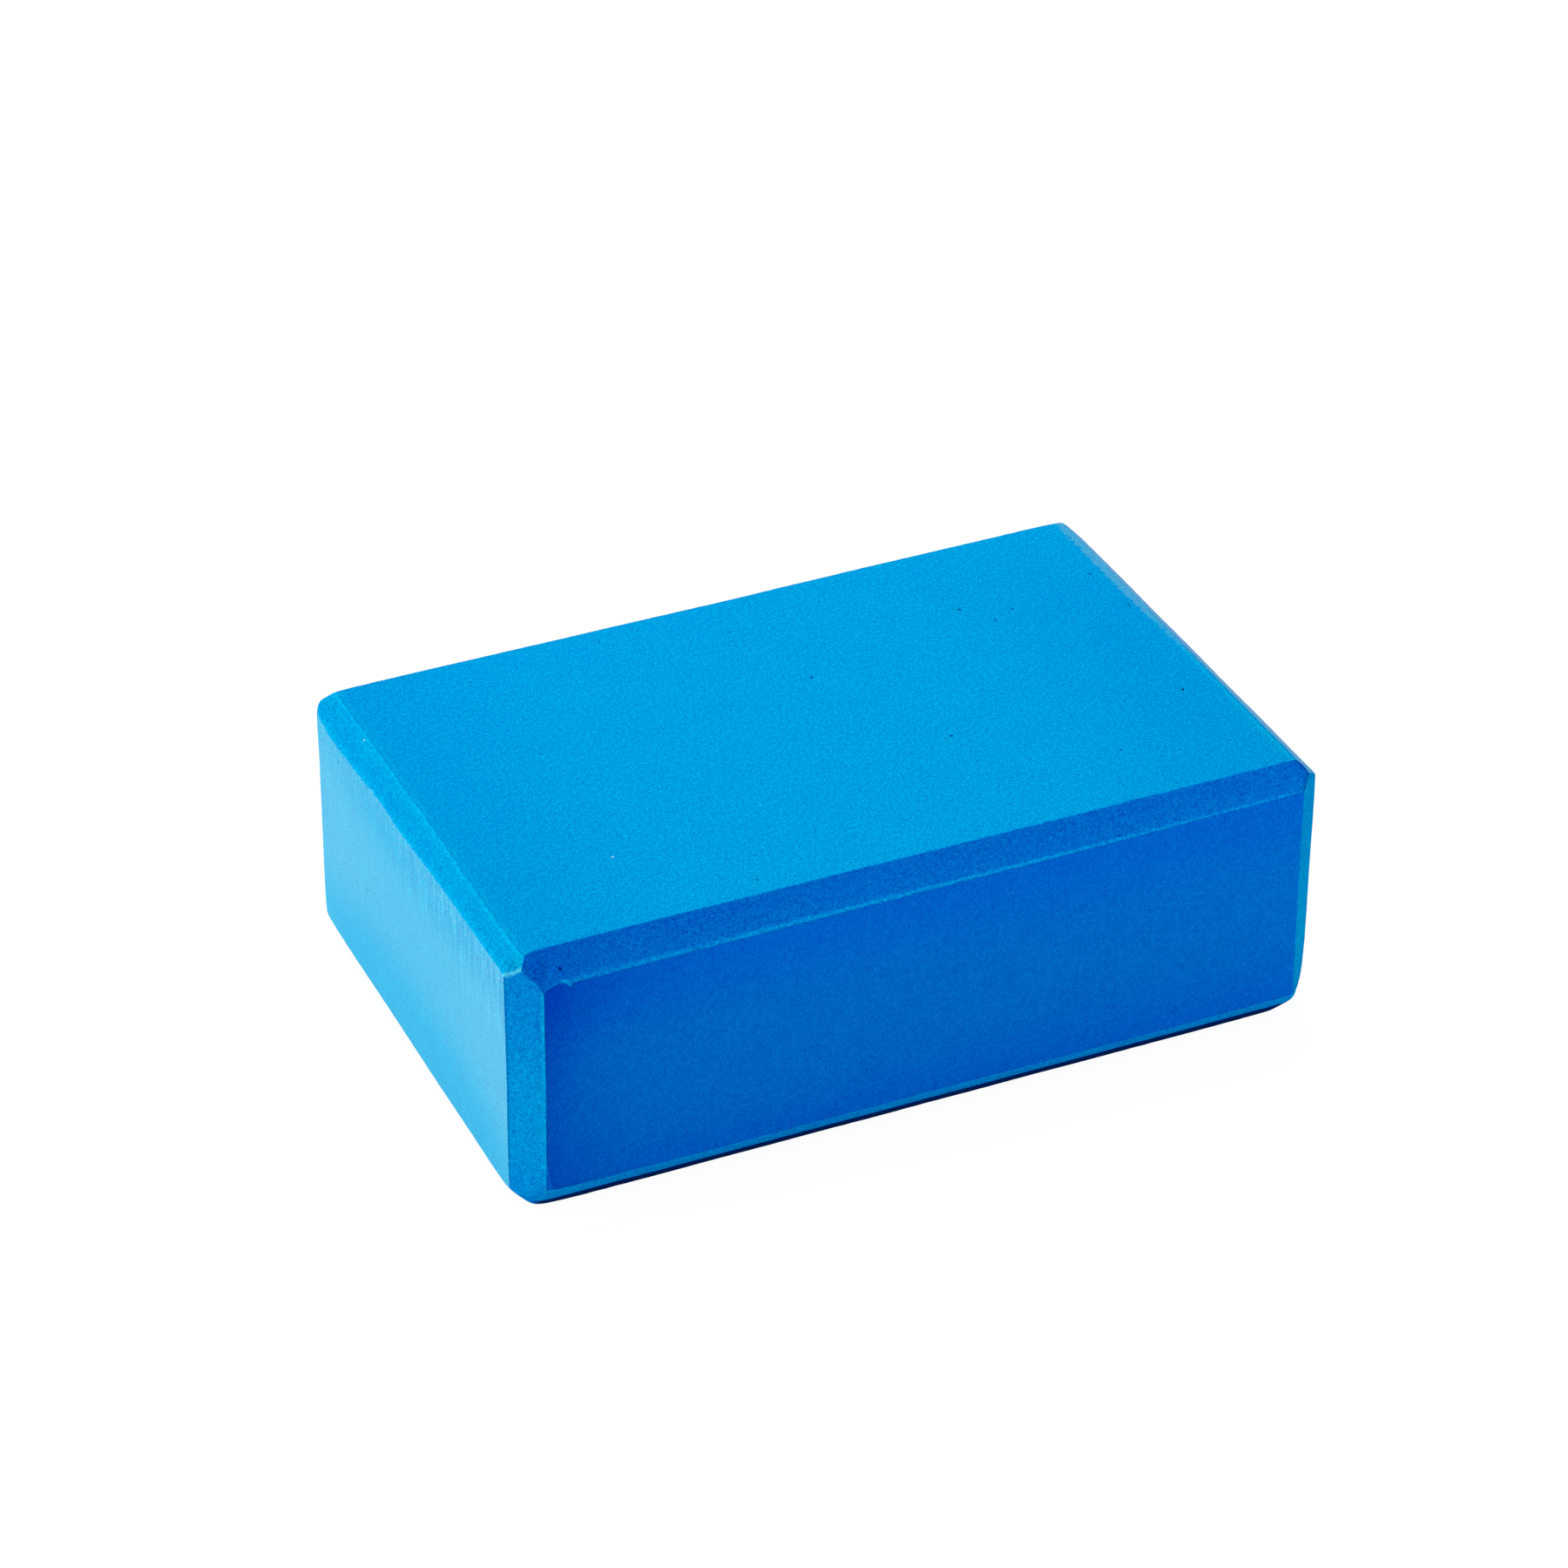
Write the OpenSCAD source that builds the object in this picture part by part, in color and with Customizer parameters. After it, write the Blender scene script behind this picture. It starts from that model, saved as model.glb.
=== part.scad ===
// Exercise block of closed-cell foam, cut from one piece.
// Flat 45 degree chamfers run along all twelve edges and meet in threes at the corners.
// The ridge on each side of a chamfer is slightly softened, as cut foam always is.
// The block lies on its largest face, with the origin at the middle of that face.

/* [Block] */
// Length along X, from end to end
block_length = 230; // [150:1:320]
// Depth along Y, from front to back
block_depth = 150; // [100:1:220]
// Thickness along Z, from base to top
block_height = 78; // [50:1:120]

/* [Chamfers] */
// Setback of the four chamfers along the front and the back
long_setback = 7; // [3:0.1:12]
// Setback of the two chamfers across the left end
left_setback = 5.5; // [3:0.1:12]
// Setback of the two chamfers across the right end
right_setback = 6.6; // [3:0.1:12]
// Setback of the four chamfers up the corners
upright_setback = 7.5; // [3:0.1:12]

/* [Ridges] */
// Radius of the ridge between a face and its chamfer
ridge_radius = 1.5; // [0.2:0.1:3]

/* [Hidden] */
foam_blue = [0.0, 0.54, 0.84];
// Angle between a face and its chamfer
chamfer_angle = 45;
$fn = 64;

// Centred rectangle with its two left corners and its two right corners cut off
function chamfered_rectangle(width, height, left, right) = [
    [left - width / 2, -height / 2],
    [width / 2 - right, -height / 2],
    [width / 2, right - height / 2],
    [width / 2, height / 2 - right],
    [width / 2 - right, height / 2],
    [left - width / 2, height / 2],
    [-width / 2, height / 2 - left],
    [-width / 2, left - height / 2],
];

// Unit vector from one point towards another
function towards(from, to) = (to - from) / norm(to - from);

// What softening takes off one corner of an outline, between its two neighbours
module corner_waste(corner, before, after) {
    to_before = towards(corner, before);
    to_after = towards(corner, after);
    tangent_length = ridge_radius * tan(chamfer_angle / 2);
    centre_distance = ridge_radius / cos(chamfer_angle / 2);
    inward = towards([0, 0], to_before + to_after);
    centre = corner + inward * centre_distance;
    difference() {
        polygon([
            corner - inward * tangent_length,
            corner + to_before * tangent_length,
            centre,
            corner + to_after * tangent_length,
        ]);
        translate(centre)
            circle(ridge_radius);
    }
}

// Outline whose corners are all rounded to the ridge radius
module softened(outline) {
    last = len(outline) - 1;
    difference() {
        polygon(outline);
        for (i = [0 : last])
            corner_waste(
                outline[i],
                outline[i == 0 ? last : i - 1],
                outline[i == last ? 0 : i + 1]
            );
    }
}

// Bar along X with the section that the long chamfers leave
module end_section_bar() {
    translate([-block_length / 2, 0, block_height / 2])
        rotate([90, 0, 90])
            linear_extrude(block_length)
                softened(chamfered_rectangle(block_depth, block_height, long_setback, long_setback));
}

// Bar along Y with the section that the end chamfers leave
module front_section_bar() {
    translate([0, block_depth / 2, block_height / 2])
        rotate([90, 0, 0])
            linear_extrude(block_depth)
                softened(chamfered_rectangle(block_length, block_height, left_setback, right_setback));
}

// Bar along Z with the plan that the upright chamfers leave
module plan_bar() {
    linear_extrude(block_height)
        softened(chamfered_rectangle(block_length, block_depth, upright_setback, upright_setback));
}

// The block is what all three bars have in common
module foam_block() {
    color(foam_blue)
        intersection() {
            end_section_bar();
            front_section_bar();
            plan_bar();
        }
}

foam_block();
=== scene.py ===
import itertools
import math

import bpy
import numpy as np
from mathutils import Matrix, Vector


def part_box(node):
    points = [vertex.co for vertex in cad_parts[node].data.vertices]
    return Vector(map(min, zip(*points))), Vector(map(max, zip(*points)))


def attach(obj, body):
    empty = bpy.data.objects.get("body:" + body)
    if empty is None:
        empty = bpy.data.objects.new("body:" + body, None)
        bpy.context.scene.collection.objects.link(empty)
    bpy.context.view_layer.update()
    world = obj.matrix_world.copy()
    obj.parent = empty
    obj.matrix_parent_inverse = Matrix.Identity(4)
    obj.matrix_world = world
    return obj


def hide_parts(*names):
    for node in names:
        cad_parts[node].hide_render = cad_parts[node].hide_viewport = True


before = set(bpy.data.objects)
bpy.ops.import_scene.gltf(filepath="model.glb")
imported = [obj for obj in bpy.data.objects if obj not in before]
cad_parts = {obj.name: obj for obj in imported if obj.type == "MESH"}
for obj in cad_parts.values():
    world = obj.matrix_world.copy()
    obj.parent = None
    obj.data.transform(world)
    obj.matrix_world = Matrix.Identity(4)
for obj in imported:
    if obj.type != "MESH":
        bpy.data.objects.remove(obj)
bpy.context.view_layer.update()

scene = bpy.context.scene
mm = 0.001
low, high = (np.array(corner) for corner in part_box("foam_block"))
middle = (low + high) / 2


# ---- Camera -------------------------------------------------------------------------------
# A long lens well back from the block, in front of its left end and looking down on it, so
# that the top, the front and the left end all show and the edges stay nearly parallel.
CAMERA_AZIMUTH, CAMERA_ELEVATION, CAMERA_ROLL = -24.14, 32.77, -0.09
CAMERA_FROM_MIDDLE = Vector((-506.4, -1112.4, 806.9)) * mm
LENS = 125.06
NEAREST, FURTHEST_SEEN = 0.01, 100


def camera_turn(azimuth, elevation, roll):
    """The camera's axes: right, up and backwards, for a place given round the block in degrees."""
    around, above, lean = (math.radians(angle) for angle in (azimuth, elevation, roll))
    back = Vector((math.sin(around) * math.cos(above),
                   -math.cos(around) * math.cos(above),
                   math.sin(above)))
    right = Vector((0, 0, 1)).cross(back).normalized()
    up = back.cross(right)
    tilted_right = right * math.cos(lean) + up * math.sin(lean)
    tilted_up = up * math.cos(lean) - right * math.sin(lean)
    return Matrix((tilted_right, tilted_up, back)).transposed()


camera = bpy.data.objects.new("camera", bpy.data.cameras.new("camera"))
camera.data.lens = LENS
camera.data.clip_start, camera.data.clip_end = NEAREST, FURTHEST_SEEN
camera.matrix_world = Matrix.LocRotScale(
    Vector(middle) + CAMERA_FROM_MIDDLE,
    camera_turn(CAMERA_AZIMUTH, CAMERA_ELEVATION, CAMERA_ROLL),
    None,
)
scene.collection.objects.link(camera)
scene.camera = camera


# ---- Foam block ---------------------------------------------------------------------------
# One block of closed-cell foam, cut from a thick sheet. A cutter takes a chamfer along all
# twelve edges and sanding softens the ridges, so each chamfer wanders a little by hand.
LEFT, RIGHT, FRONT, BACK, UNDER, TOP = ((axis, side) for axis in range(3) for side in (0, 1))
FACES = (LEFT, RIGHT, FRONT, BACK, UNDER, TOP)
EDGES = [(a, b) for a, b in itertools.combinations(FACES, 2) if a[0] != b[0]]
limits = np.array([low, high])
CHANCE_SEED = 18
rng = np.random.default_rng(CHANCE_SEED)

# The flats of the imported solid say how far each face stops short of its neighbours.
SOLID_RIDGE_RADIUS = 1.5 * mm
TOUCHING = 1e-6
solid_points = np.array([v.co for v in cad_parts["foam_block"].data.vertices])


def setback(face, neighbour):
    """How far the flat of one face, drawn out to a sharp ridge, stops short of the next face."""
    (axis, side), (across, far) = face, neighbour
    on_face = solid_points[np.isclose(solid_points[:, axis], limits[side, axis], atol=TOUCHING)]
    edge = on_face[:, across].max() if far else on_face[:, across].min()
    return abs(limits[far, across] - edge) - SOLID_RIDGE_RADIUS * math.tan(math.pi / 8)


# Grid lines lie close together where the ridges run and further apart over the flats. They
# are counted from the edge inwards: (distance, number of cells up to it). Over the flats a
# plain block of cells, this many a side, becomes one polygon.
EDGE_BAND = 13 * mm
BAND_CELLS = ((4.0 * mm, 4), (9.6 * mm, 16), (EDGE_BAND, 3))
FLAT_CELLS = (204, 124, 52)
BLOCK = 4


def grid_lines(axis):
    """Places of the grid lines along one axis, from the low face to the high face."""
    band, start = [0.0], 0.0
    for stop, cells in BAND_CELLS:
        band += list(np.linspace(start, stop, cells + 1)[1:])
        start = stop
    band = np.array(band)
    flat = np.linspace(low[axis] + EDGE_BAND, high[axis] - EDGE_BAND, FLAT_CELLS[axis] + 1)
    return np.concatenate([low[axis] + band[:-1], flat, high[axis] - band[-2::-1]])


line_places = [grid_lines(axis) for axis in range(3)]
counts = [len(places) for places in line_places]
band_cells = sum(cells for _, cells in BAND_CELLS)


def point_key(face, across, along):
    """One number for a grid point of a face, the same from each face that shares the point."""
    axis, side = face
    index = [None] * 3
    index[axis] = (counts[axis] - 1) * side
    index[(axis + 1) % 3], index[(axis + 2) % 3] = across, along
    return (index[0] * counts[1] + index[1]) * counts[2] + index[2]


def border_keys(face, across, along):
    """Keys of the grid points round a range of cells of a face, in the order that faces outwards."""
    (left, right), (near, far) = across, along
    walk = [(a, near) for a in range(left, right)]
    walk += [(right, b) for b in range(near, far)]
    walk += [(a, far) for a in range(right, left, -1)]
    walk += [(left, b) for b in range(far, near, -1)]
    walk = walk if face[1] else [walk[0]] + walk[:0:-1]
    return [point_key(face, a, b) for a, b in walk]


# Burst cells leave a few pinholes in every face but the front: (place along the face's two axes,
# radius), in mm. Those on the top and the left end lie where this block has them.
TOP_PINS = (
    ((61.6, 37), 0.42), ((68, 28), 0.3), ((75, 31.5), 0.3), ((103, 39.5), 0.36),
    ((105, 20), 0.36), ((10, 21.5), 0.4), ((31.5, -20.5), 0.42), ((98, -25), 0.4),
    ((-35, 62), 0.28), ((-0.5, 52), 0.3), ((69, -45), 0.28), ((-43, -62), 0.26),
)
LEFT_PINS = (((51, 66.5), 0.36), ((32, 37), 0.36))
LOOSE_PINS = {RIGHT: 3, BACK: 4, UNDER: 7}
LOOSE_RADIUS = (0.28, 0.45)
LOOSE_MARGIN = 16 * mm
PIN_REACH = 1.1 * mm
pins = [(TOP, place, radius) for place, radius in TOP_PINS]
pins += [(LEFT, place, radius) for place, radius in LEFT_PINS]
for face, number in LOOSE_PINS.items():
    u, v = (face[0] + 1) % 3, (face[0] + 2) % 3
    for _ in range(number):
        place = rng.uniform(low + LOOSE_MARGIN, high - LOOSE_MARGIN) / mm
        pins.append((face, (place[u], place[v]), rng.uniform(*LOOSE_RADIUS)))


def window(face, place):
    """The cells of a face that make way for a pinhole, as a range along each axis."""
    spans = []
    for axis, value in zip(((face[0] + 1) % 3, (face[0] + 2) % 3), place):
        start = np.searchsorted(line_places[axis], value * mm - PIN_REACH) - 1
        stop = np.searchsorted(line_places[axis], value * mm + PIN_REACH)
        spans.append((int(start), int(stop)))
    return tuple(spans)


def whole_blocks(span, cells):
    """A range of cells widened to whole blocks, where it lies on the flat of the face."""
    first = max(span[0] - band_cells, 0) // BLOCK
    last = -(-(min(span[1], cells - band_cells) - band_cells) // BLOCK)
    return slice(band_cells + first * BLOCK, band_cells + last * BLOCK)


# Cells stay small round each face's border and round its pinholes. Elsewhere a block of them
# is one polygon, which keeps those points on its border that its neighbours use.
polygons, plain_blocks, holes = [], [], []
for face in FACES:
    wide, tall = (counts[(face[0] + k) % 3] - 1 for k in (1, 2))
    small = np.ones((wide, tall), bool)
    small[band_cells:wide - band_cells, band_cells:tall - band_cells] = False
    windows = [(window(pin[0], pin[1]), pin) for pin in pins if pin[0] == face]
    for spans, _ in windows:
        small[whole_blocks(spans[0], wide), whole_blocks(spans[1], tall)] = True
    plain_blocks += [
        (face, (i, i + BLOCK), (j, j + BLOCK))
        for i in range(band_cells, wide - band_cells, BLOCK)
        for j in range(band_cells, tall - band_cells, BLOCK)
        if not small[i, j]
    ]
    for (across, along), pin in windows:
        small[slice(*across), slice(*along)] = False
        holes.append((pin, border_keys(face, across, along)))
    u, v = np.nonzero(small)
    ring = [(u, v), (u + 1, v), (u + 1, v + 1), (u, v + 1)]
    ring = ring if face[1] else ring[::-1]
    polygons += np.stack([point_key(face, a, b) for a, b in ring], axis=1).tolist()

used = set(itertools.chain.from_iterable(polygons))
used.update(*(border for _, border in holes))
for face, across, along in plain_blocks:
    border = border_keys(face, across, along)
    polygons.append([key for n, key in enumerate(border) if n % BLOCK == 0 or key in used])
    used.update(border[::BLOCK])

keys = np.array(sorted(used))
number_of = {key: number for number, key in enumerate(keys.tolist())}
polygons = [[number_of[key] for key in polygon] for polygon in polygons]
grid = np.stack([
    line_places[0][keys // (counts[1] * counts[2])],
    line_places[1][keys // counts[2] % counts[1]],
    line_places[2][keys % counts[2]],
], axis=1)


# How the cutter strayed from the drawn chamfers, in mm: how much further each reaches onto
# the first face, beside the second, at even places from the low to the high end of the edge.
# The others stray a little by chance, and all waver and chatter.
STRAY = {
    (TOP, FRONT): (0.1, -0.3), (FRONT, TOP): (1.1, 0.35, 0.05, -0.8),
    (TOP, BACK): (0.4, 0.25, 0.2, -0.5, -0.75), (BACK, TOP): (0, 0),
    (TOP, RIGHT): (-0.65, -0.45), (RIGHT, TOP): (-0.55, 0.02),
    (TOP, LEFT): (-0.75, -0.6, 0.1, 0.0, 0.25),
    (LEFT, TOP): (-0.5, -0.5, -0.6, -0.5, 0.25, -0.2, 1.0, 1.5, -1.2),
    (UNDER, FRONT): (-1.8, -2.4), (FRONT, UNDER): (0.85, 0.4, 0.3, 0, 0.1),
    (LEFT, UNDER): (-0.7, 1.9), (LEFT, BACK): (-1.1, -0.55, 0.15, 0.8, -0.4),
    (LEFT, FRONT): (1.5, -0.4, -0.4), (FRONT, LEFT): (-0.8, 0.25, 0.6),
    (RIGHT, FRONT): (-0.2, -0.75), (FRONT, RIGHT): (-0.38, -0.32),
    (RIGHT, UNDER): (-0.5, 0.7, 0, 0), (UNDER, RIGHT): (4.4, -1.2, 0, 0),
    (BACK, LEFT): (-1.5, -3.6), (RIGHT, BACK): (-1.2, -1.2), (BACK, RIGHT): (-1.2, -1.2),
}
LOOSE_STRAY = 0.3
WAVER = 0.04 * mm
WAVER_PERIODS = (25 * mm, 80 * mm)
CHATTER = 0.018 * mm
CHATTER_PERIODS = (4 * mm, 9 * mm)

# The cutter tore the foam a little along these borders.
TORN = {(LEFT, TOP): 0.12 * mm, (TOP, LEFT): 0.06 * mm, (TOP, FRONT): 0.04 * mm}
TORN_PERIODS = (1.6 * mm, 6 * mm)

# Near their ends, where the cutter went in or came out, some reach further onto the first face
# beside the second, or less far: (how much, up to how deep under the third, fading over).
ENDS = {
    (TOP, FRONT, LEFT): (-1.4 * mm, 5.2 * mm, 1.5 * mm),
    (TOP, LEFT, FRONT): (1.0 * mm, 3.5 * mm, 2.0 * mm),
    (LEFT, TOP, FRONT): (1.4 * mm, 4.5 * mm, 1.8 * mm),
    (FRONT, LEFT, TOP): (-0.2 * mm, 8.8 * mm, 1.5 * mm),
    (RIGHT, FRONT, UNDER): (0.8 * mm, 7.0 * mm, 7.0 * mm),
    (FRONT, RIGHT, UNDER): (-0.4 * mm, 7.0 * mm, 4.0 * mm),
}

# Three small nicks in the top's front edge, and waves at its left end where the cutter settled:
# place along the edge, how much further the chamfer reaches there, and half the width.
NICKS = {
    (TOP, FRONT): ((61, 0.45, 1.0), (93, 0.45, 1.0), (104.5, 0.45, 1.0)),
    (FRONT, TOP): ((-107.2, 0.9, 1.0), (-103, -1.0, 2.2)),
    (FRONT, LEFT): ((71.5, 0.7, 1.8),),
}

# A burr that the cutter raised along the foot of the top front chamfer, from just past the
# left corner on. It is widest where the cut began.
BURR_HEIGHT = 0.33 * mm
BURR_WIDTHS = (1.3 * mm, 0.6 * mm)
BURR_START, BURR_RISE = low[0] + 12.8 * mm, 1.0 * mm


def smooth_step(value, start, stop):
    """0 before start, 1 past stop and a smooth rise between."""
    t = np.clip((value - start) / (stop - start), 0, 1)
    return t * t * (3 - 2 * t)


def stray_line(place, size, periods, waves=5):
    """A line that strays by about this size, in waves of these periods."""
    lengths = rng.uniform(*periods, waves)
    starts = rng.uniform(0, math.tau, waves)
    sines = [np.sin(math.tau * place / length + start) for length, start in zip(lengths, starts)]
    return size * math.sqrt(2 / waves) * sum(sines)


def face_depths(points):
    """How far every point lies inside each face; negative is outside."""
    return {
        (axis, side): points[:, axis] - low[axis] if side == 0 else high[axis] - points[:, axis]
        for axis, side in FACES
    }


def chamfer_legs(points):
    """How far the chamfer beside every point reaches onto a face, by (that face, the other)."""
    legs = {}
    for edge in EDGES:
        for face, beside in (edge, edge[::-1]):
            axis = 3 - face[0] - beside[0]
            place = points[:, axis]
            share = (place - low[axis]) / (high[axis] - low[axis])
            strays = STRAY.get((face, beside), rng.uniform(-LOOSE_STRAY, LOOSE_STRAY, 2))
            stray = np.interp(share, np.linspace(0, 1, len(strays)), strays)
            leg = setback(face, beside) + stray * mm
            leg += stray_line(place, WAVER, WAVER_PERIODS)
            leg += stray_line(place, CHATTER, CHATTER_PERIODS)
            leg += stray_line(place, TORN.get((face, beside), 0), TORN_PERIODS)
            legs[face, beside] = leg
    for border, nicks in NICKS.items():
        place = points[:, 3 - border[0][0] - border[1][0]] / mm
        for nick, more, width in nicks:
            legs[border] += more * mm * np.exp(-((place - nick) / width) ** 2)
    depth = face_depths(points)
    for (face, beside, end), (more, start, length) in ENDS.items():
        legs[face, beside] += more * np.exp(-np.maximum(depth[end] - start, 0) / length)
    return legs


def burr(points, depth):
    """How much of the burr's height every point has, from 0 beside it to 1 at its crest."""
    x = points[:, 0]
    rise = smooth_step(x, BURR_START, BURR_START + BURR_RISE)
    width = np.interp(x, (low[0], high[0]), BURR_WIDTHS)
    return rise * np.clip(1 - depth[FRONT] / width, 0, 1)


def reach_past(points, legs):
    """How far every point lies outside each of the six faces and the twelve chamfers."""
    depth = face_depths(points)
    reach = [-depth[face] for face in FACES]
    for first, second in EDGES:
        on_first, on_second = legs[first, second], legs[second, first]
        slope = np.hypot(1 / on_first, 1 / on_second)
        past = (1 - depth[first] / on_second - depth[second] / on_first) / slope
        if (first, second) == (FRONT, TOP):
            past = past - BURR_HEIGHT * burr(points, depth)
        reach.append(past)
    return np.array(reach)


def blended(reach, softness):
    """The surface's own distance, with the planes blended into each other over the softness."""
    most = reach.max(axis=0)
    return most + softness * np.log(np.exp((reach - most) / softness).sum(axis=0))


# Sanding softens the ridges a little and the corners more, except the crisp one at the left
# end of the top's front edge: (softness, how far it reaches) at each corner.
RIDGE_SOFTNESS = 0.08 * mm
CORNER_SOFTENED = (0.6 * mm, 6.5 * mm)
CORNERS = {
    (LEFT, FRONT, TOP): (0.07 * mm, 6.5 * mm), (LEFT, BACK, TOP): (0.8 * mm, 9 * mm),
    (RIGHT, BACK, TOP): (1.0 * mm, 8 * mm), (LEFT, BACK, UNDER): (1.2 * mm, 9 * mm),
    (LEFT, FRONT, UNDER): (1.0 * mm, 12 * mm), (RIGHT, FRONT, UNDER): (0.75 * mm, 11 * mm),
}
HALVINGS = 22
softness = np.full(len(grid), RIDGE_SOFTNESS)
for corner in itertools.product((LEFT, RIGHT), (FRONT, BACK), (UNDER, TOP)):
    at = np.array([limits[side, axis] for axis, side in corner])
    corner_softness, corner_reach = CORNERS.get(corner, CORNER_SOFTENED)
    near = np.exp(-((np.linalg.norm(grid - at, axis=1) / corner_reach) ** 2))
    softness += corner_softness * near

# Each grid point moves along its ray from the core of the block until it meets the surface.
legs = chamfer_legs(grid)
core = np.clip(grid, low + EDGE_BAND, high - EDGE_BAND)
ray = grid - core
inner, outer = np.zeros(len(grid)), np.ones(len(grid))
for _ in range(HALVINGS):
    half = (inner + outer) / 2
    outside = blended(reach_past(core + ray * half[:, None], legs), softness) > 0
    inner, outer = np.where(outside, inner, half), np.where(outside, half, outer)
points = core + ray * outer[:, None]

# What the material needs to know of each point. First, how far it lies past each kind of cut:
# the cut that it is furthest past is the one it belongs to.
UPRIGHTS = [edge for edge in EDGES if TOP not in edge and UNDER not in edge]
CUTS = {
    "flat": [UNDER, TOP],
    "end": [LEFT, RIGHT],
    "long_side": [FRONT, BACK],
    "long_chamfer": [edge for edge in EDGES if edge[0] in (FRONT, BACK)],
    "end_chamfer": [edge for edge in EDGES if edge[0] in (LEFT, RIGHT) and edge not in UPRIGHTS],
    "left_upright": [edge for edge in UPRIGHTS if LEFT in edge],
    "right_upright": [edge for edge in UPRIGHTS if RIGHT in edge],
}
FURTHEST = 20 * mm
depth = face_depths(points)
reach = dict(zip([*FACES, *EDGES], reach_past(points, legs)))
marks = {
    name: np.maximum(np.max([reach[cut] for cut in cuts], axis=0), -FURTHEST)
    for name, cuts in CUTS.items()
}
cut_here = np.argmax(list(marks.values()), axis=0)
is_on = {name: cut_here == number for number, name in enumerate(CUTS)}

# Painted light: the middle of each face is painted lighter than its borders: where that begins
# and where it is full, above the underside and below the top, or inwards from an end. The top
# is painted lighter along its back right part too.
LIT_MIDDLES = {
    "end": ((10 * mm, 38 * mm), (4 * mm, 28 * mm)),
    "long_side": ((0, 30 * mm), (7 * mm, 32 * mm)),
    "left_upright": ((-5 * mm, 25 * mm), (5 * mm, 45 * mm)),
    "right_upright": ((-5 * mm, 25 * mm), (5 * mm, 45 * mm)),
}
FLAT_LIT_MIDDLE = {LEFT: (12 * mm, 60 * mm), RIGHT: (18 * mm, 70 * mm)}
BACK_LIT_MIDDLE = (25 * mm, 70 * mm)
from_the_ends = np.minimum(*(smooth_step(depth[end], *span) for end, span in FLAT_LIT_MIDDLE.items()))
at_the_back = smooth_step(points[:, 1], *BACK_LIT_MIDDLE) * (points[:, 0] > middle[0])
lit_middle = is_on["flat"] * np.maximum(from_the_ends, at_the_back)
for name, (above, below) in LIT_MIDDLES.items():
    risen = smooth_step(depth[UNDER], *above), smooth_step(depth[TOP], *below)
    lit_middle = lit_middle + is_on[name] * np.minimum(*risen)

# Painted light: the ends are painted lighter least half way along and most near their borders.
# The end chamfers are painted paler along the top, and the long ones beside the sides. Painted
# shade: the sides are a deeper blue towards the left end, most of all high up.
END_MIDDLE_LESS, END_BORDERS_MORE, END_HALF_WIDTH = 0.3, 0.45, 60 * mm
PALE_BELOW_TOP, PALE_BESIDE_SIDES = 2.0 * mm, 2.5 * mm
LEFT_END_SHADE_FROM, LEFT_END_SHADE_LENGTH_LOW, LEFT_END_SHADE_LENGTH_HIGH = 9 * mm, 13 * mm, 20 * mm
LEFT_END_SHADE_HIGH, LEFT_END_SHADE_LOW = 1.0, 0.6
from_middle = np.abs(points[:, 1] - middle[1]) / END_HALF_WIDTH
nearest_side = np.minimum(depth[FRONT], depth[BACK])
lit_middle += is_on["end"] * (END_BORDERS_MORE * from_middle ** 2 - END_MIDDLE_LESS)
lit_middle += is_on["end_chamfer"] * np.exp(-depth[TOP] / PALE_BELOW_TOP)
lit_middle += is_on["long_chamfer"] * np.exp(-nearest_side / PALE_BESIDE_SIDES)
marks["lit_middle"] = lit_middle
past_corner = np.maximum(depth[LEFT] - LEFT_END_SHADE_FROM, 0)
height_share = smooth_step(points[:, 2], middle[2], high[2])
near_left_end = LEFT_END_SHADE_LOW + (LEFT_END_SHADE_HIGH - LEFT_END_SHADE_LOW) * height_share
left_end_shade_length = LEFT_END_SHADE_LENGTH_LOW + (LEFT_END_SHADE_LENGTH_HIGH - LEFT_END_SHADE_LENGTH_LOW) * height_share
marks["near_left_end"] = near_left_end * np.exp(-past_corner / left_end_shade_length)

# The head of the front left upright chamfer has the palest painted highlights.
HEAD_REACH = (8 * mm, 12 * mm)
head = np.array([low[0], low[1], high[2]])
away_from_head = np.linalg.norm(points - head, axis=1)
marks["head"] = 1 - smooth_step(away_from_head, *HEAD_REACH)

# A lighter line runs along the top just inside each of its two end borders, and the blade tore
# the top along the right one, more and more towards the back. The chamfer beside the torn part
# has a slight sheen and a painted pale reflection. For each line: how far in it lies, half its
# width and how much it shows.
TOP_END_LINES = {LEFT: (1.0 * mm, 0.5 * mm, 1.0), RIGHT: (1.2 * mm, 0.7 * mm, 1.7)}
TORN_STRIP = 2.3 * mm
TORN_FROM, TORN_TO = -35 * mm, 30 * mm
RIGHT_TOP_FROM, RIGHT_TOP_TO = 90 * mm, 95 * mm
MARK_LIMIT = 3 * mm
from_border = {end: depth[end] - legs[TOP, end] for end in TOP_END_LINES}
backwards = smooth_step(points[:, 1], TORN_FROM, TORN_TO)
marks["backwards"] = backwards
marks["top_end_line"] = is_on["flat"] * sum(
    shows * np.exp(-((from_border[end] - at) / width) ** 2)
    for end, (at, width, shows) in TOP_END_LINES.items())
torn_away = TORN_STRIP * backwards - from_border[RIGHT]
marks["torn"] = np.clip(torn_away, -MARK_LIMIT, MARK_LIMIT)
toward_right_end = smooth_step(points[:, 0], middle[0] + RIGHT_TOP_FROM, middle[0] + RIGHT_TOP_TO)
marks["right_top"] = toward_right_end * height_share

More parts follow.
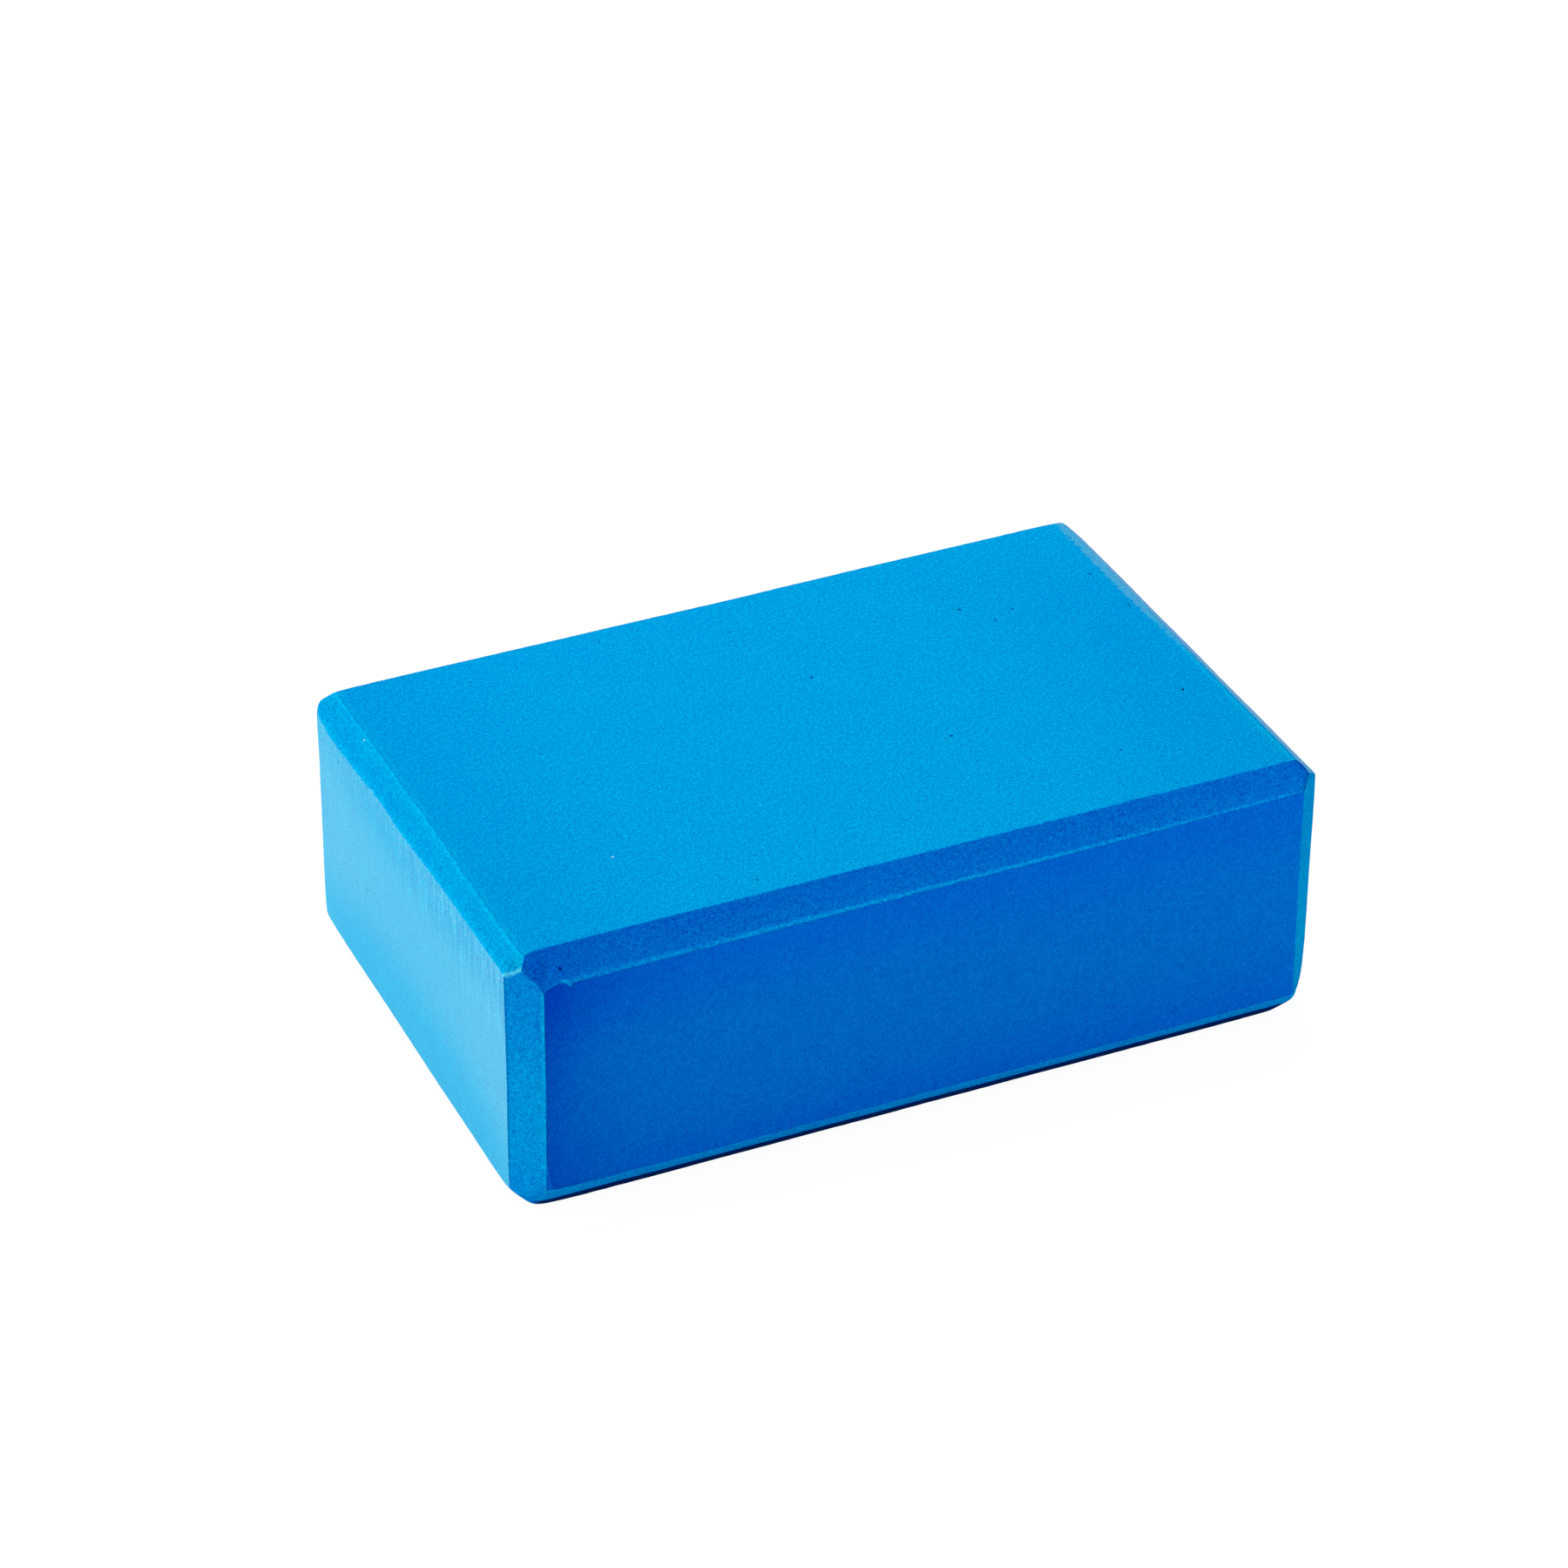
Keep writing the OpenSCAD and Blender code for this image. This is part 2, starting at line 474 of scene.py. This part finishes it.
# The burr has a painted highlight, most in the middle. The upper part of the long bottom
# chamfers has painted light too, while their foot has a painted shadow. A sliver was pared off
# beside the foot of the front left upright, and its facet is painted in its own shade. The ends
# are scored below their top edge, the right one only lightly.
BURR_HIGHLIGHT = (0.45, 0.65, 1.0, 1.0, 0.9, 0.45)
FOOT_SHADOW_HEIGHTS = (3.4 * mm, 3.5 * mm)
FOOT_SHADOW_FROM, FOOT_SHADOW_TO = 4.5 * mm, 7.5 * mm
SLIVER_WIDTH, SLIVER_HEIGHT = 3.5 * mm, 18.5 * mm
SCORED_FROM, SCORED_TO = 12 * mm, 34 * mm
SCORED_LESS_BACKWARDS, SCORED_AT_RIGHT = 0.7, 0.5
share = (points[:, 0] - low[0]) / (high[0] - low[0])
burr_highlight = np.interp(share, np.linspace(0, 1, len(BURR_HIGHLIGHT)), BURR_HIGHLIGHT)
marks["burr"] = burr_highlight * np.sqrt(burr(points, depth)) * (depth[TOP] < middle[2])
marks["above_foot"] = np.minimum(depth[UNDER] - np.interp(share, (0, 1), FOOT_SHADOW_HEIGHTS), FURTHEST)
marks["foot_shadow"] = smooth_step(depth[LEFT], FOOT_SHADOW_FROM, FOOT_SHADOW_TO)
sliver = SLIVER_WIDTH * (1 - depth[UNDER] / SLIVER_HEIGHT) + legs[FRONT, LEFT] - depth[LEFT]
marks["sliver"] = np.clip(sliver, -MARK_LIMIT, MARK_LIMIT)
marks["scored"] = 1 - smooth_step(depth[TOP], SCORED_FROM, SCORED_TO)
marks["scored"] *= 1 - SCORED_LESS_BACKWARDS * backwards
marks["scored"] *= np.where(points[:, 0] > middle[0], SCORED_AT_RIGHT, 1)
marks["pinhole"] = np.zeros(len(points))

# Each pinhole is sunk into the gap left for it, as rings that narrow downwards to a rounded
# bottom, and is painted dark inside as painted shade: (width, depth in radii and darkness of
# each ring).
RING_PROFILE = ((1.3, 0.0, 0.0), (1.05, 0.2, 0.4), (0.85, 0.8, 1.0), (0.5, 1.4, 1.0))
OVALNESS = 0.18
points, marks = list(points), {name: list(values) for name, values in marks.items()}
for ((axis, side), place, radius), border in holes:
    u, v = (axis + 1) % 3, (axis + 2) % 3
    centre = np.zeros(3)
    centre[axis], centre[u], centre[v] = limits[side, axis], place[0] * mm, place[1] * mm
    inwards = np.zeros(3)
    inwards[axis] = -1 if side else 1
    ring = border = [number_of[key] for key in border]
    spokes = np.array([points[number] for number in ring]) - centre
    spokes /= np.linalg.norm(spokes, axis=1)[:, None]
    angles = np.arctan2(spokes[:, v], spokes[:, u])
    oval = 1 + OVALNESS * np.cos(2 * angles + rng.uniform(0, math.tau))
    for width, sunk, dark in RING_PROFILE:
        places = centre + spokes * (radius * mm * width * oval)[:, None]
        places = places + inwards * radius * mm * sunk
        new = list(range(len(points), len(points) + len(ring)))
        points += list(places)
        for name, values in marks.items():
            around = float(np.mean([values[number] for number in border]))
            values += [dark if name == "pinhole" else around] * len(ring)
        for n in range(len(ring)):
            after = (n + 1) % len(ring)
            polygons.append([ring[n], ring[after], new[after], new[n]])
        ring = new
    polygons.append(ring)

mesh = bpy.data.meshes.new("foam_body")
mesh.from_pydata([tuple(point) for point in points], [], polygons)
mesh.validate()
mesh.shade_smooth()
for name, values in marks.items():
    attribute = mesh.attributes.new(name, "FLOAT", "POINT")
    attribute.data.foreach_set("value", np.array(values, np.float32))
block_body = bpy.data.objects.new("foam_body", mesh)
scene.collection.objects.link(block_body)


class Wire:
    """A socket in a material. Arithmetic on wires adds Math nodes, and node() adds any other."""

    def __init__(self, tree, socket=None):
        self.tree = tree
        self.socket = socket

    def node(self, kind, settings=None, sockets=None, out=0):
        made = self.tree.nodes.new(kind)
        for name, value in (settings or {}).items():
            setattr(made, name, value)
        for key, value in (sockets or {}).items():
            if isinstance(value, Wire):
                self.tree.links.new(value.socket, made.inputs[key])
            else:
                made.inputs[key].default_value = value
        return Wire(self.tree, made.outputs[out] if made.outputs else None)

    def math(self, operation, *others):
        values = dict(enumerate((self, *others)))
        return self.node("ShaderNodeMath", {"operation": operation}, values)

    def clamped(self):
        settings = {"operation": "ADD", "use_clamp": True}
        return self.node("ShaderNodeMath", settings, {0: self, 1: 0.0})

    def mixed(self, first, second):
        """The first colour where this wire is 0, the second where it is 1. Numbers 6 and 7 are
        the Mix node's two colour inputs, and 2 is its colour output."""
        settings = {"data_type": "RGBA"}
        return self.node("ShaderNodeMix", settings, {0: self, 6: first, 7: second}, out=2)

    def times(self, other):
        """This colour or vector times another, part by part."""
        settings = {"operation": "MULTIPLY"}
        return self.node("ShaderNodeVectorMath", settings, {0: self, 1: other})

    def __add__(self, other):
        return self.math("ADD", other)

    def __sub__(self, other):
        return self.math("SUBTRACT", other)

    def __rsub__(self, other):
        return (self * -1).math("ADD", other)

    def __mul__(self, other):
        return self.math("MULTIPLY", other)

    __radd__ = __add__
    __rmul__ = __mul__


# The foam: dyed through in one blue, with a fine even grain of cut cells. Each cut gets its own
# shade of that blue as painted light and shade, near its borders and in its painted lighter
# middle: the ends are painted paler, with a painted highlight, and the long sides deeper, as
# painted shade. The cutter leaves a coarser stipple on the chamfers, and the saw fine upright
# lines on the ends.
# The top's blue, and the same blue with the painted light of a face's middle.
FOAM_BLUE, FOAM_LIT_MIDDLE = (0.0, 0.335, 0.77, 1), (0.0, 0.368, 0.795, 1)
# Painted light and shade of each cut: (by its borders, in its middle).
LIT_AND_SHADED_BLUES = {
    "long_side": ((0.0, 0.187, 0.80, 1), (0.0, 0.218, 0.755, 1)),
    "long_chamfer": ((0.0, 0.19, 0.76, 1), (0.0, 0.235, 0.79, 1)),
    "end": ((0.04, 0.485, 0.82, 1), (0.1, 0.53, 0.845, 1)),
    "end_chamfer": ((0.0, 0.325, 0.715, 1), (0.0, 0.375, 0.745, 1)),
    "left_upright": ((0.0, 0.275, 0.80, 1), (0.0, 0.35, 0.825, 1)),
    "right_upright": ((0.0, 0.33, 0.70, 1), (0.0, 0.37, 0.72, 1)),
}
# Painted shade on the sides near the left end.
LEFT_END_SHADE_BLUE = (0.0, 0.06, 0.60, 1)
# Painted highlight, palest at the head of the front left upright.
PALE_HIGHLIGHT_BLUE = (0.10, 0.72, 1.0, 1)
SPECK_BLUE = (0.20, 0.53, 0.86, 1)
# Painted highlight along the ridges, and the colour of the scratch.
RIDGE_HIGHLIGHT_AND_SCRATCH_BLUE = (0.0, 0.50, 0.92, 1)
TOP_END_LINE_BLUE = (0.0, 0.50, 0.80, 1)
# Painted highlight on the burr.
BURR_HIGHLIGHT_BLUE = (0.0, 0.39, 0.86, 1)
LIT_FOOT_BLUE = (0.0, 0.43, 0.95, 1)
# Painted pale reflection on the right top chamfer.
GRAZING_REFLECTION_BLUE = (0.095, 0.39, 0.69, 1)
TORN_BLUE = (0.06, 0.41, 0.73, 1)
# Thin dark lines, painted shade at the top's right end.
DARK_LINE_BLUE = (0.0, 0.07, 0.42, 1)
# Painted shadow at the foot of the long bottom chamfers.
FOOT_SHADOW_BLUE = (0.0, 0.03, 0.16, 1)
# The colour of the pores, and painted shade inside the pinholes.
PORE_AND_PIN_SHADE_BLUE = (0.0, 0.08, 0.32, 1)
# Painted shade of the pared sliver's facet.
SLIVER_SHADE_BLUE = (0.0, 0.19, 0.80, 1)
FOOT_SOFT, FOOT_REACH = 0.3 * mm, 15 * mm
SLIVER_SOFT = 0.4 * mm
DARK_CELL, LIGHT_CELL = (1.0, 0.4, 0.8, 1), (1.0, 1.6, 1.2, 1)

foam = bpy.data.materials.new("blue_foam")
foam.use_nodes = True
foam.node_tree.nodes.clear()
wire = Wire(foam.node_tree)


def mark(name):
    return wire.node("ShaderNodeAttribute", {"attribute_name": name}, out="Fac")


on_block = wire.node("ShaderNodeTexCoord", out="Object")


def grain(size, detail=1.0, stretch=(1, 1, 1)):
    """Even noise about zero, with bumps of about this size."""
    stretched = on_block.times(stretch)
    sockets = {"Vector": stretched, "Scale": 1 / size, "Detail": detail, "Roughness": 0.5}
    return wire.node("ShaderNodeTexNoise", None, sockets, out="Fac") - 0.5


DOT_SHARPNESS = 2
PORE_CONTRAST, PORES_FEWER = 2, 0.6


def pores(spacing, radius):
    """Sparse small dots, each as strong as chance has it."""
    sockets = {"Vector": on_block, "Scale": 1 / spacing}
    away, chance = (
        wire.node("ShaderNodeTexVoronoi", None, sockets, out=name)
        for name in ("Distance", "Color"))
    dots = ((1 - away * (spacing / radius)) * DOT_SHARPNESS).clamped()
    return dots * (chance * PORE_CONTRAST - PORES_FEWER).clamped()


def spot(centre, radius):
    """1 close to a place on the block, fading to 0 a radius away from it."""
    settings = {"operation": "DISTANCE"}
    away = wire.node("ShaderNodeVectorMath", settings, {0: on_block, 1: centre}, out="Value")
    return ((1 - away * (1 / radius)) * DOT_SHARPNESS).clamped()


# A cut shows where a point is furthest past it. The ends' borders are ragged towards the back.
RAGGED = 1.2 * mm
BORDER_WIDTH = 0.1 * mm
backwards, right_top = mark("backwards"), mark("right_top")
ragged = grain(0.8 * mm, detail=2.0, stretch=(0.6, 1, 1))
past = {name: mark(name) for name in CUTS}
past["end"] = past["end"] + backwards * ragged * RAGGED
furthest = past["flat"]
for name in list(CUTS)[1:]:
    furthest = furthest.math("MAXIMUM", past[name])
gap = {name: furthest - past[name] for name in CUTS}
on = {name: (1 - gap[name] * (1 / BORDER_WIDTH)).clamped() for name in CUTS}


def thin_lines(table):
    """Thin lines on one kind of cut where it meets another, by how strong and how wide each is."""
    total = 0
    for name, beside, strength, width in table:
        away = gap[beside] * (1 / (width * mm))
        total = total + on[name] * (away * away * -1).math("EXPONENT") * strength
    return total


chamfer = on["long_chamfer"] + on["end_chamfer"] + on["left_upright"] + on["right_upright"]
lit_middle, scored, head = mark("lit_middle"), mark("scored") * on["end"], mark("head")
cells = grain(0.5 * mm)
curds = grain(1.3 * mm)
mottle = grain(11 * mm, detail=2.0)
stipple = grain(0.6 * mm, detail=1.5, stretch=(0.8, 1, 1.3))
saw_lines = grain(0.75 * mm, detail=0.0, stretch=(1, 1, 0.06))
cutter_lines = grain(0.8 * mm, stretch=(1, 0.05, 1))

# Painted highlights run along the ridges, palest at the head of the front left upright. Thin
# dark lines run beside some of them, and more at the top's right end, where they are painted
# shade. Each line is given by the cut it is on, the one it runs beside, how strong it is and its
# width in mm.
RIDGE_HIGHLIGHT_LINES = (
    ("left_upright", "long_side", 1.0, 0.35), ("end_chamfer", "long_chamfer", 1.0, 0.5),
    ("end_chamfer", "end", 0.6, 0.9), ("end_chamfer", "flat", 0.4, 0.6),
)
HEAD_LINES = (
    ("end_chamfer", "left_upright", 1.0, 0.45), ("left_upright", "end_chamfer", 1.0, 0.35),
)
END_LINES = (("end", "left_upright", 0.3, 0.4), ("end", "end_chamfer", 0.2, 0.4))
DARK_LINES = (
    ("left_upright", "end", 0.7, 0.45), ("long_side", "left_upright", 0.4, 0.4),
    ("long_chamfer", "flat", 0.3, 0.3), ("flat", "end_chamfer", 0.25, 0.35),
)
RIGHT_SHADE_LINES = (
    ("long_chamfer", "end_chamfer", 1.0, 0.9), ("long_chamfer", "right_upright", 0.8, 0.6),
    ("flat", "end_chamfer", 0.25, 0.35),
)
ridge_highlights = thin_lines(RIDGE_HIGHLIGHT_LINES)
pale_highlights = head * thin_lines(HEAD_LINES) + thin_lines(END_LINES)
dark_lines = thin_lines(DARK_LINES) + right_top * thin_lines(RIGHT_SHADE_LINES)

# The sawn ends are rough below their top edge, with specks of raised foam, and the top is torn
# along its right border.
ROUGH_WIDTH, ROUGH_SHARPNESS, ROUGH_BELOW = 4.5, 4, 0.4
SPECK_CONTRAST, SPECK_SAWN, SPECKS_FEWER = 7, 3, 0.1
TORN_RAGGED, TORN_SHARPNESS = 4.5, 2
rough_strip = thin_lines([("end", "end_chamfer", 1.0, ROUGH_WIDTH)])
rough_strip = rough_strip * (scored * ROUGH_SHARPNESS).clamped()
rough = (rough_strip + scored * ROUGH_BELOW).clamped()
specks = ragged * SPECK_CONTRAST + saw_lines * SPECK_SAWN * (1 - backwards) - SPECKS_FEWER
specks = rough * specks.clamped()
torn = (mark("torn") * (1 / mm) + ragged * TORN_RAGGED) * TORN_SHARPNESS + 0.5
torn = torn.clamped() * backwards * on["flat"]

# The foot of the long bottom chamfers has a painted shadow and the rest of them painted light.
# The sides have a painted shade near the left end, and one of them lost a sliver, whose facet is
# painted in its own shade.
above_foot = mark("above_foot") * (1 / FOOT_SOFT)
low_down = above_foot.math("LESS_THAN", FOOT_REACH / FOOT_SOFT)
lit_foot = above_foot.clamped() * low_down * on["long_chamfer"]
foot_shadow = (above_foot * -1).clamped() * mark("foot_shadow") * on["long_chamfer"]
LEFT_END_SHADE_ON_CHAMFER = 0.3
near_left_end = mark("near_left_end") * (on["long_side"] + on["long_chamfer"] * LEFT_END_SHADE_ON_CHAMFER)
sliver_shade = (mark("sliver") * (1 / SLIVER_SOFT) + 0.5).clamped() * on["long_side"]

# The painted light and shade of each cut comes first, then the painted light, shade and marks
# laid over it: (where, how strongly, shade).
colour = lit_middle.mixed(FOAM_BLUE, FOAM_LIT_MIDDLE)
for name, (by_border, in_middle) in LIT_AND_SHADED_BLUES.items():
    colour = on[name].mixed(colour, lit_middle.mixed(by_border, in_middle))
LAYERS = (
    (near_left_end, 1.0, LEFT_END_SHADE_BLUE),
    (sliver_shade, 1.0, SLIVER_SHADE_BLUE),
    (mark("top_end_line") * on["flat"], 0.3, TOP_END_LINE_BLUE),
    (mark("burr") * on["long_chamfer"], 1.0, BURR_HIGHLIGHT_BLUE),
    (lit_foot, 1.0, LIT_FOOT_BLUE),
    (dark_lines, 0.8, DARK_LINE_BLUE),
    (ridge_highlights, 0.8, RIDGE_HIGHLIGHT_AND_SCRATCH_BLUE),
    (pale_highlights, 0.9, PALE_HIGHLIGHT_BLUE),
    (specks, 0.75, SPECK_BLUE),
    (right_top * on["end_chamfer"], 1.0, GRAZING_REFLECTION_BLUE),
    (torn, 1.0, TORN_BLUE),
)
for where, strength, shade in LAYERS:
    colour = (where * strength).mixed(colour, shade)

# Then the grain of cut cells lightens and darkens it. It shows less on the ends and their
# chamfers, while the stipple shows most on the long chamfers near the left end.
CELLS_SHOW, CELLS_LESS = 1.5, 0.35
CURDS_SHOW, CURDS_LESS = 0.5, 0.3
MOTTLE_SHOWS = 0.1
STIPPLE_SHOWS, STIPPLE_LESS, STIPPLE_ROUGH, STIPPLE_SCORED = 0.7, 0.35, 0.5, 0.25
CUTTER_SHOWS = 0.15
SAW_SHOWS, SAW_SHOWS_SCORED = 0.08, 0.5
EVEN_ON_CHAMFER = 0.5
even = on["end"] + on["end_chamfer"] * EVEN_ON_CHAMFER
stippled = chamfer - on["end_chamfer"] * STIPPLE_LESS + mark("near_left_end") * on["long_chamfer"]
stippled = stippled * STIPPLE_SHOWS + rough * STIPPLE_ROUGH + scored * STIPPLE_SCORED
lightness = 0.5 + cells * (CELLS_SHOW - even * CELLS_LESS)
lightness = lightness + curds * (CURDS_SHOW - even * CURDS_LESS) + mottle * MOTTLE_SHOWS
lightness = lightness + stippled * stipple + on["end_chamfer"] * cutter_lines * CUTTER_SHOWS
lightness = lightness + on["end"] * saw_lines * (scored * SAW_SHOWS_SCORED + SAW_SHOWS)
colour = colour.times(lightness.mixed(DARK_CELL, LIGHT_CELL))

PORE_SPACING, PORE_RADIUS, PORES_SHOW = 3.2 * mm, 0.42 * mm, 0.45
colour = (pores(PORE_SPACING, PORE_RADIUS) * PORES_SHOW).mixed(colour, PORE_AND_PIN_SHADE_BLUE)
colour = foot_shadow.mixed(colour, FOOT_SHADOW_BLUE)
colour = mark("pinhole").mixed(colour, PORE_AND_PIN_SHADE_BLUE)

# A few flecks of pale dust, and one pit in the top front chamfer, drawn only as a spot of painted
# shade, with a short scratch below it.
DUST_BLUE = (0.35, 0.72, 0.95, 1)
FLECKS = (((-72.5, -37.2, 78), 0.5), ((-110.2, 42.7, 77), 0.45), ((-115, 60, 75.3), 0.5))
PIT_PLACE, PIT_RADIUS = Vector((-101.4, -72.1, 73.6)) * mm, 0.65 * mm
# Painted shade of the pit.
PIT_SHADE_BLUE = (0.0, 0.015, 0.25, 1)
SCRATCH_FROM, SCRATCH_TO = Vector((-101.4, -74.3, 71.4)) * mm, Vector((-99.7, -75.0, 70.1)) * mm
SCRATCH_WIDTH, SCRATCH_STEPS = 0.6 * mm, 5
DUST_SHOWS, SCRATCH_SHOWS = 0.8, 0.5
for centre, radius in FLECKS:
    fleck = spot(Vector(centre) * mm, radius * mm) * DUST_SHOWS
    colour = fleck.mixed(colour, DUST_BLUE)
for step in range(SCRATCH_STEPS + 1):
    scratch = spot(SCRATCH_FROM.lerp(SCRATCH_TO, step / SCRATCH_STEPS), SCRATCH_WIDTH)
    colour = (scratch * SCRATCH_SHOWS).mixed(colour, RIDGE_HIGHLIGHT_AND_SCRATCH_BLUE)
colour = spot(PIT_PLACE, PIT_RADIUS).mixed(colour, PIT_SHADE_BLUE)

# The grain is felt as well as seen, and the sawn ends have a slight sheen.
BUMP_STRENGTH, BUMP_HEIGHT = 0.5, 0.12 * mm
MATT, GRAIN_MATT, SAWN_LESS_MATT = 0.62, 0.2, 0.1
SAWN_SHEEN, RIGHT_TOP_SHEEN, SHEEN_ROUGHNESS = 0.15, 0.2, 0.35
CELLS_RISE, STIPPLE_RISES, SAW_RISES = 0.8, 1.2, 0.4
height = cells * CELLS_RISE + chamfer * stipple * STIPPLE_RISES
height = height + on["end"] * saw_lines * SAW_RISES + torn * ragged
bump = wire.node("ShaderNodeBump", None, {
    "Strength": BUMP_STRENGTH, "Distance": BUMP_HEIGHT, "Height": height})
finish = wire.node("ShaderNodeBsdfPrincipled", None, {
    "Base Color": colour,
    "Roughness": MATT + cells * GRAIN_MATT - on["end"] * SAWN_LESS_MATT,
    "Normal": bump,
    "Specular IOR Level": 0.0,
    "Coat Weight": on["end"] * SAWN_SHEEN + right_top * on["end_chamfer"] * RIGHT_TOP_SHEEN,
    "Coat Roughness": SHEEN_ROUGHNESS,
    "Coat IOR": 1.5,
})
wire.node("ShaderNodeOutputMaterial", None, {"Surface": finish})
mesh.materials.append(foam)

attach(block_body, "root")
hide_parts("foam_block")


# ---- Floor --------------------------------------------------------------------------------
# A wide white sheet under the block. It throws light up like white paper. Seen directly, most
# of its white is its own, so that only a faint shadow shows round the foot of the block.
FLOOR_HALF = 8.0
FLOOR_GAP = 0.05 * mm
FLOOR_WHITE, FLOOR_SEEN = (0.8, 0.8, 0.8, 1), (0.13, 0.13, 0.13, 1)
floor_mesh = bpy.data.meshes.new("floor")
floor_mesh.from_pydata(
    [(x * FLOOR_HALF, y * FLOOR_HALF, low[2] - FLOOR_GAP)
     for x, y in ((-1, -1), (1, -1), (1, 1), (-1, 1))],
    [], [(0, 1, 2, 3)])
floor = bpy.data.objects.new("floor", floor_mesh)
scene.collection.objects.link(floor)
paper = bpy.data.materials.new("white_paper")
paper.use_nodes = True
paper.node_tree.nodes.clear()
wire = Wire(paper.node_tree)


def seen_directly():
    """1 for rays that show the backdrop itself: straight, mirrored or through glass."""
    kinds = ("Is Camera Ray", "Is Glossy Ray", "Is Transmission Ray")
    camera_ray, glossy_ray, clear_ray = (
        wire.node("ShaderNodeLightPath", out=kind) for kind in kinds)
    return (camera_ray + glossy_ray + clear_ray).clamped()


GLOW_NEAR, GLOW_FAR = 0.95, 1.0
NEAR, FAR = 0.3, 1.2
on_floor = wire.node("ShaderNodeTexCoord", out="Object")
away = wire.node("ShaderNodeVectorMath", {"operation": "LENGTH"}, {0: on_floor}, out="Value")
glow = wire.node("ShaderNodeMapRange", None, {
    "Value": away, "From Min": NEAR, "From Max": FAR, "To Min": GLOW_NEAR, "To Max": GLOW_FAR})
white = seen_directly().mixed(FLOOR_WHITE, FLOOR_SEEN)
matt = wire.node("ShaderNodeBsdfDiffuse", None, {"Color": white})
strength = seen_directly() * glow
shine = wire.node("ShaderNodeEmission", None, {"Color": (1, 1, 1, 1), "Strength": strength})
both = wire.node("ShaderNodeAddShader", None, {0: matt, 1: shine})
wire.node("ShaderNodeOutputMaterial", None, {"Surface": both})
floor_mesh.materials.append(paper)


# ---- Lamps and world ----------------------------------------------------------------------
# Plain soft studio light: a wide lamp above and behind, a soft box at the left end, and a
# weak cool fill from the front, under an even dim sky. Each lamp is a disk: (place, size in
# metres, watts, tint).
LAMPS = {
    "overhead": ((0.0, 0.7, 1.4), 1.2, 19.0, (1.0, 1.0, 0.94)),
    "left_box": ((-1.4, 0.05, 0.3), 1.0, 13.8, (1.0, 1.0, 0.94)),
    "front_fill": ((0.9, -1.2, 0.5), 1.0, 9.9, (0.75, 0.8, 1.0)),
}
for name, (place, size, watts, tint) in LAMPS.items():
    lamp = bpy.data.objects.new(name, bpy.data.lights.new(name, "AREA"))
    lamp.data.shape = "DISK"
    lamp.data.size = size
    lamp.data.energy = watts
    lamp.data.color = tint
    lamp.location = place
    lamp.rotation_mode = "QUATERNION"
    lamp.rotation_quaternion = (Vector(place) - Vector(middle)).to_track_quat("Z", "Y")
    scene.collection.objects.link(lamp)

SKY = (0.10, 0.105, 0.13, 1)
scene.world = bpy.data.worlds.new("studio")
scene.world.use_nodes = True
scene.world.node_tree.nodes.clear()
wire = Wire(scene.world.node_tree)
dim = wire.node("ShaderNodeBackground", None, {"Color": SKY, "Strength": 1.0})
white = wire.node("ShaderNodeBackground", None, {"Color": (1, 1, 1, 1), "Strength": 1.0})
sky = wire.node("ShaderNodeMixShader", None, {0: seen_directly(), 1: dim, 2: white})
wire.node("ShaderNodeOutputWorld", None, {"Surface": sky})
scene.view_settings.view_transform = "Standard"
